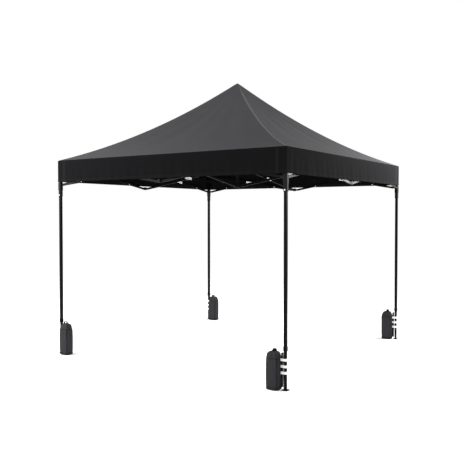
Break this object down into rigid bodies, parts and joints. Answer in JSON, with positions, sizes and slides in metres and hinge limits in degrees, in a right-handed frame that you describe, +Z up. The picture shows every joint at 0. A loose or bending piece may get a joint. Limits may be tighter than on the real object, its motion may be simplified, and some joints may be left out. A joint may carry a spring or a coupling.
{
  "type": "pop-up gazebo",
  "caption": "Square pop-up gazebo with a peaked sagging cover, straight valances, a folding scissor frame, telescopic legs and a weight bag on each leg.",
  "frame": {"origin": "on the ground, in the middle of the four legs", "axes": "+Z up, +X and +Y square to the sides; the picture looks from +X -Y, with the front leg at +X -Y"},
  "size_m": [2.98, 3.0295, 3.166],
  "materials": {
    "cover": "matte black polyester, coated on the inside",
    "frame_steel": "satin black powder coat",
    "rivet_steel": "bare zinc-plated steel",
    "nylon": "moulded black nylon",
    "bag_cloth": "matte black polyester bag with white straps"
  },
  "bodies": {
    "centre": {"top_hub": "nylon", "canopy": "cover"},
    "inner_down_fl": {"inner_bar_down_fl": "frame_steel"},
    "inner_up_fl": {"inner_bar_up_fl": "frame_steel"},
    "mid_top_fl": {"mid_top_fl": "nylon"},
    "mid_low_fl": {"mid_low_fl": "nylon"},
    "inner_down_fr": {"inner_bar_down_fr": "frame_steel"},
    "inner_up_fr": {"inner_bar_up_fr": "frame_steel"},
    "mid_top_fr": {"mid_top_fr": "nylon"},
    "mid_low_fr": {"mid_low_fr": "nylon"},
    "inner_down_br": {"inner_bar_down_br": "frame_steel"},
    "inner_up_br": {"inner_bar_up_br": "frame_steel"},
    "mid_top_br": {"mid_top_br": "nylon"},
    "mid_low_br": {"mid_low_br": "nylon"},
    "inner_down_bl": {"inner_bar_down_bl": "frame_steel"},
    "inner_up_bl": {"inner_bar_up_bl": "frame_steel"},
    "mid_top_bl": {"mid_top_bl": "nylon"},
    "mid_low_bl": {"mid_low_bl": "nylon"},
    "lower_hub": {"lower_hub": "nylon", "mast": "frame_steel"},
    "side_down_fl_front": {"side_bar_down_fl_front": "frame_steel"},
    "side_up_fl_front": {"side_bar_up_fl_front": "frame_steel"},
    "leg_front": {"outer_leg_front": "frame_steel", "corner_bracket_front": "nylon"},
    "slider_front": {"slider_front": "nylon"},
    "foot_front": {"inner_leg_front": "frame_steel", "weight_bag_front": "bag_cloth"},
    "side_down_fl_left": {"side_bar_down_fl_left": "frame_steel"},
    "side_up_fl_left": {"side_bar_up_fl_left": "frame_steel"},
    "leg_left": {"outer_leg_left": "frame_steel", "corner_bracket_left": "nylon"},
    "slider_left": {"slider_left": "nylon"},
    "foot_left": {"inner_leg_left": "frame_steel", "weight_bag_left": "bag_cloth"},
    "side_down_fr_front": {"side_bar_down_fr_front": "frame_steel"},
    "side_up_fr_front": {"side_bar_up_fr_front": "frame_steel", "corner_rivet_front": "rivet_steel"},
    "side_down_fr_right": {"side_bar_down_fr_right": "frame_steel"},
    "side_up_fr_right": {"side_bar_up_fr_right": "frame_steel", "corner_rivet_right": "rivet_steel"},
    "side_down_br_right": {"side_bar_down_br_right": "frame_steel"},
    "side_up_br_right": {"side_bar_up_br_right": "frame_steel"},
    "leg_right": {"outer_leg_right": "frame_steel", "corner_bracket_right": "nylon"},
    "slider_right": {"slider_right": "nylon"},
    "foot_right": {"inner_leg_right": "frame_steel", "weight_bag_right": "bag_cloth"},
    "side_down_br_back": {"side_bar_down_br_back": "frame_steel"},
    "side_up_br_back": {"side_bar_up_br_back": "frame_steel"},
    "leg_back": {"outer_leg_back": "frame_steel", "corner_bracket_back": "nylon"},
    "slider_back": {"slider_back": "nylon"},
    "foot_back": {"inner_leg_back": "frame_steel", "weight_bag_back": "bag_cloth"},
    "side_down_bl_left": {"side_bar_down_bl_left": "frame_steel"},
    "side_up_bl_left": {"side_bar_up_bl_left": "frame_steel", "corner_rivet_left": "rivet_steel"},
    "side_down_bl_back": {"side_bar_down_bl_back": "frame_steel"},
    "side_up_bl_back": {"side_bar_up_bl_back": "frame_steel", "corner_rivet_back": "rivet_steel"}
  },
  "joints": [
    {"name": "frame_fold", "type": "hinge", "parent": "centre", "child": "inner_down_fl", "pos_m": [0, -0.045, 2.17], "axis": [1, 0, 0], "range_deg": [0, 76.5]},
    {"name": "inner_cross_fl", "type": "hinge", "parent": "inner_down_fl", "child": "inner_up_fl", "pos_m": [0, -0.73, 2.05], "axis": [1, 0, 0], "range_deg": [-153, 0]},
    {"name": "mid_top_fl_hinge", "type": "hinge", "parent": "inner_up_fl", "child": "mid_top_fl", "pos_m": [0, -1.415, 2.17], "axis": [1, 0, 0], "range_deg": [0, 76.5]},
    {"name": "mid_low_fl_hinge", "type": "hinge", "parent": "inner_down_fl", "child": "mid_low_fl", "pos_m": [0, -1.415, 1.93], "axis": [1, 0, 0], "range_deg": [-76.5, 0]},
    {"name": "inner_down_fr_hinge", "type": "hinge", "parent": "centre", "child": "inner_down_fr", "pos_m": [0.045, 0, 2.17], "axis": [0, 1, 0], "range_deg": [0, 76.5]},
    {"name": "inner_cross_fr", "type": "hinge", "parent": "inner_down_fr", "child": "inner_up_fr", "pos_m": [0.73, 0, 2.05], "axis": [0, 1, 0], "range_deg": [-153, 0]},
    {"name": "mid_top_fr_hinge", "type": "hinge", "parent": "inner_up_fr", "child": "mid_top_fr", "pos_m": [1.415, 0, 2.17], "axis": [0, 1, 0], "range_deg": [0, 76.5]},
    {"name": "mid_low_fr_hinge", "type": "hinge", "parent": "inner_down_fr", "child": "mid_low_fr", "pos_m": [1.415, 0, 1.93], "axis": [0, 1, 0], "range_deg": [-76.5, 0]},
    {"name": "inner_down_br_hinge", "type": "hinge", "parent": "centre", "child": "inner_down_br", "pos_m": [0, 0.045, 2.17], "axis": [-1, 0, 0], "range_deg": [0, 76.5]},
    {"name": "inner_cross_br", "type": "hinge", "parent": "inner_down_br", "child": "inner_up_br", "pos_m": [0, 0.73, 2.05], "axis": [-1, 0, 0], "range_deg": [-153, 0]},
    {"name": "mid_top_br_hinge", "type": "hinge", "parent": "inner_up_br", "child": "mid_top_br", "pos_m": [0, 1.415, 2.17], "axis": [-1, 0, 0], "range_deg": [0, 76.5]},
    {"name": "mid_low_br_hinge", "type": "hinge", "parent": "inner_down_br", "child": "mid_low_br", "pos_m": [0, 1.415, 1.93], "axis": [-1, 0, 0], "range_deg": [-76.5, 0]},
    {"name": "inner_down_bl_hinge", "type": "hinge", "parent": "centre", "child": "inner_down_bl", "pos_m": [-0.045, 0, 2.17], "axis": [0, -1, 0], "range_deg": [0, 76.5]},
    {"name": "inner_cross_bl", "type": "hinge", "parent": "inner_down_bl", "child": "inner_up_bl", "pos_m": [-0.73, 0, 2.05], "axis": [0, -1, 0], "range_deg": [-153, 0]},
    {"name": "mid_top_bl_hinge", "type": "hinge", "parent": "inner_up_bl", "child": "mid_top_bl", "pos_m": [-1.415, 0, 2.17], "axis": [0, -1, 0], "range_deg": [0, 76.5]},
    {"name": "mid_low_bl_hinge", "type": "hinge", "parent": "inner_down_bl", "child": "mid_low_bl", "pos_m": [-1.415, 0, 1.93], "axis": [0, -1, 0], "range_deg": [-76.5, 0]},
    {"name": "lower_hub_hinge", "type": "hinge", "parent": "inner_up_fl", "child": "lower_hub", "pos_m": [0, -0.045, 1.93], "axis": [1, 0, 0], "range_deg": [0, 76.5]},
    {"name": "side_down_fl_front_hinge", "type": "hinge", "parent": "mid_top_fl", "child": "side_down_fl_front", "pos_m": [0.045, -1.46, 2.17], "axis": [0, 1, 0], "range_deg": [0, 76.5]},
    {"name": "side_cross_fl_front", "type": "hinge", "parent": "side_down_fl_front", "child": "side_up_fl_front", "pos_m": [0.73, -1.46, 2.05], "axis": [0, 1, 0], "range_deg": [-153, 0]},
    {"name": "corner_front_hinge", "type": "hinge", "parent": "side_up_fl_front", "child": "leg_front", "pos_m": [1.415, -1.46, 2.17], "axis": [0, 1, 0], "range_deg": [0, 76.5]},
    {"name": "slider_front_hinge", "type": "hinge", "parent": "side_down_fl_front", "child": "slider_front", "pos_m": [1.415, -1.46, 1.93], "axis": [0, 1, 0], "range_deg": [-76.5, 0]},
    {"name": "leg_front_height", "type": "slide", "parent": "leg_front", "child": "foot_front", "axis": [0, 0, 1], "range_m": [0, 0.06]},
    {"name": "side_down_fl_left_hinge", "type": "hinge", "parent": "mid_top_fl", "child": "side_down_fl_left", "pos_m": [-0.045, -1.46, 2.17], "axis": [0, -1, 0], "range_deg": [0, 76.5]},
    {"name": "side_cross_fl_left", "type": "hinge", "parent": "side_down_fl_left", "child": "side_up_fl_left", "pos_m": [-0.73, -1.46, 2.05], "axis": [0, -1, 0], "range_deg": [-153, 0]},
    {"name": "corner_left_hinge", "type": "hinge", "parent": "side_up_fl_left", "child": "leg_left", "pos_m": [-1.415, -1.46, 2.17], "axis": [0, -1, 0], "range_deg": [0, 76.5]},
    {"name": "slider_left_hinge", "type": "hinge", "parent": "side_down_fl_left", "child": "slider_left", "pos_m": [-1.415, -1.46, 1.93], "axis": [0, -1, 0], "range_deg": [-76.5, 0]},
    {"name": "leg_left_height", "type": "slide", "parent": "leg_left", "child": "foot_left", "axis": [0, 0, 1], "range_m": [0, 0.06]},
    {"name": "side_down_fr_front_hinge", "type": "hinge", "parent": "mid_top_fr", "child": "side_down_fr_front", "pos_m": [1.46, -0.045, 2.17], "axis": [1, 0, 0], "range_deg": [0, 76.5]},
    {"name": "side_cross_fr_front", "type": "hinge", "parent": "side_down_fr_front", "child": "side_up_fr_front", "pos_m": [1.46, -0.73, 2.05], "axis": [1, 0, 0], "range_deg": [-153, 0]},
    {"name": "side_down_fr_right_hinge", "type": "hinge", "parent": "mid_top_fr", "child": "side_down_fr_right", "pos_m": [1.46, 0.045, 2.17], "axis": [-1, 0, 0], "range_deg": [0, 76.5]},
    {"name": "side_cross_fr_right", "type": "hinge", "parent": "side_down_fr_right", "child": "side_up_fr_right", "pos_m": [1.46, 0.73, 2.05], "axis": [-1, 0, 0], "range_deg": [-153, 0]},
    {"name": "side_down_br_right_hinge", "type": "hinge", "parent": "mid_top_br", "child": "side_down_br_right", "pos_m": [0.045, 1.46, 2.17], "axis": [0, 1, 0], "range_deg": [0, 76.5]},
    {"name": "side_cross_br_right", "type": "hinge", "parent": "side_down_br_right", "child": "side_up_br_right", "pos_m": [0.73, 1.46, 2.05], "axis": [0, 1, 0], "range_deg": [-153, 0]},
    {"name": "corner_right_hinge", "type": "hinge", "parent": "side_up_br_right", "child": "leg_right", "pos_m": [1.415, 1.46, 2.17], "axis": [0, 1, 0], "range_deg": [0, 76.5]},
    {"name": "slider_right_hinge", "type": "hinge", "parent": "side_down_br_right", "child": "slider_right", "pos_m": [1.415, 1.46, 1.93], "axis": [0, 1, 0], "range_deg": [-76.5, 0]},
    {"name": "leg_right_height", "type": "slide", "parent": "leg_right", "child": "foot_right", "axis": [0, 0, 1], "range_m": [0, 0.06]},
    {"name": "side_down_br_back_hinge", "type": "hinge", "parent": "mid_top_br", "child": "side_down_br_back", "pos_m": [-0.045, 1.46, 2.17], "axis": [0, -1, 0], "range_deg": [0, 76.5]},
    {"name": "side_cross_br_back", "type": "hinge", "parent": "side_down_br_back", "child": "side_up_br_back", "pos_m": [-0.73, 1.46, 2.05], "axis": [0, -1, 0], "range_deg": [-153, 0]},
    {"name": "corner_back_hinge", "type": "hinge", "parent": "side_up_br_back", "child": "leg_back", "pos_m": [-1.415, 1.46, 2.17], "axis": [0, -1, 0], "range_deg": [0, 76.5]},
    {"name": "slider_back_hinge", "type": "hinge", "parent": "side_down_br_back", "child": "slider_back", "pos_m": [-1.415, 1.46, 1.93], "axis": [0, -1, 0], "range_deg": [-76.5, 0]},
    {"name": "leg_back_height", "type": "slide", "parent": "leg_back", "child": "foot_back", "axis": [0, 0, 1], "range_m": [0, 0.06]},
    {"name": "side_down_bl_left_hinge", "type": "hinge", "parent": "mid_top_bl", "child": "side_down_bl_left", "pos_m": [-1.46, -0.045, 2.17], "axis": [1, 0, 0], "range_deg": [0, 76.5]},
    {"name": "side_cross_bl_left", "type": "hinge", "parent": "side_down_bl_left", "child": "side_up_bl_left", "pos_m": [-1.46, -0.73, 2.05], "axis": [1, 0, 0], "range_deg": [-153, 0]},
    {"name": "side_down_bl_back_hinge", "type": "hinge", "parent": "mid_top_bl", "child": "side_down_bl_back", "pos_m": [-1.46, 0.045, 2.17], "axis": [-1, 0, 0], "range_deg": [0, 76.5]},
    {"name": "side_cross_bl_back", "type": "hinge", "parent": "side_down_bl_back", "child": "side_up_bl_back", "pos_m": [-1.46, 0.73, 2.05], "axis": [-1, 0, 0], "range_deg": [-153, 0]}
  ],
  "couplings": [
    {"joint": "inner_cross_fl", "follows": "frame_fold", "ratio": -2},
    {"joint": "mid_top_fl_hinge", "follows": "frame_fold", "ratio": 1},
    {"joint": "mid_low_fl_hinge", "follows": "frame_fold", "ratio": -1},
    {"joint": "inner_down_fr_hinge", "follows": "frame_fold", "ratio": 1},
    {"joint": "inner_cross_fr", "follows": "frame_fold", "ratio": -2},
    {"joint": "mid_top_fr_hinge", "follows": "frame_fold", "ratio": 1},
    {"joint": "mid_low_fr_hinge", "follows": "frame_fold", "ratio": -1},
    {"joint": "inner_down_br_hinge", "follows": "frame_fold", "ratio": 1},
    {"joint": "inner_cross_br", "follows": "frame_fold", "ratio": -2},
    {"joint": "mid_top_br_hinge", "follows": "frame_fold", "ratio": 1},
    {"joint": "mid_low_br_hinge", "follows": "frame_fold", "ratio": -1},
    {"joint": "inner_down_bl_hinge", "follows": "frame_fold", "ratio": 1},
    {"joint": "inner_cross_bl", "follows": "frame_fold", "ratio": -2},
    {"joint": "mid_top_bl_hinge", "follows": "frame_fold", "ratio": 1},
    {"joint": "mid_low_bl_hinge", "follows": "frame_fold", "ratio": -1},
    {"joint": "lower_hub_hinge", "follows": "frame_fold", "ratio": 1},
    {"joint": "side_down_fl_front_hinge", "follows": "frame_fold", "ratio": 1},
    {"joint": "side_cross_fl_front", "follows": "frame_fold", "ratio": -2},
    {"joint": "corner_front_hinge", "follows": "frame_fold", "ratio": 1},
    {"joint": "slider_front_hinge", "follows": "frame_fold", "ratio": -1},
    {"joint": "side_down_fl_left_hinge", "follows": "frame_fold", "ratio": 1},
    {"joint": "side_cross_fl_left", "follows": "frame_fold", "ratio": -2},
    {"joint": "corner_left_hinge", "follows": "frame_fold", "ratio": 1},
    {"joint": "slider_left_hinge", "follows": "frame_fold", "ratio": -1},
    {"joint": "side_down_fr_front_hinge", "follows": "frame_fold", "ratio": 1},
    {"joint": "side_cross_fr_front", "follows": "frame_fold", "ratio": -2},
    {"joint": "side_down_fr_right_hinge", "follows": "frame_fold", "ratio": 1},
    {"joint": "side_cross_fr_right", "follows": "frame_fold", "ratio": -2},
    {"joint": "side_down_br_right_hinge", "follows": "frame_fold", "ratio": 1},
    {"joint": "side_cross_br_right", "follows": "frame_fold", "ratio": -2},
    {"joint": "corner_right_hinge", "follows": "frame_fold", "ratio": 1},
    {"joint": "slider_right_hinge", "follows": "frame_fold", "ratio": -1},
    {"joint": "side_down_br_back_hinge", "follows": "frame_fold", "ratio": 1},
    {"joint": "side_cross_br_back", "follows": "frame_fold", "ratio": -2},
    {"joint": "corner_back_hinge", "follows": "frame_fold", "ratio": 1},
    {"joint": "slider_back_hinge", "follows": "frame_fold", "ratio": -1},
    {"joint": "side_down_bl_left_hinge", "follows": "frame_fold", "ratio": 1},
    {"joint": "side_cross_bl_left", "follows": "frame_fold", "ratio": -2},
    {"joint": "side_down_bl_back_hinge", "follows": "frame_fold", "ratio": 1},
    {"joint": "side_cross_bl_back", "follows": "frame_fold", "ratio": -2}
  ]
}
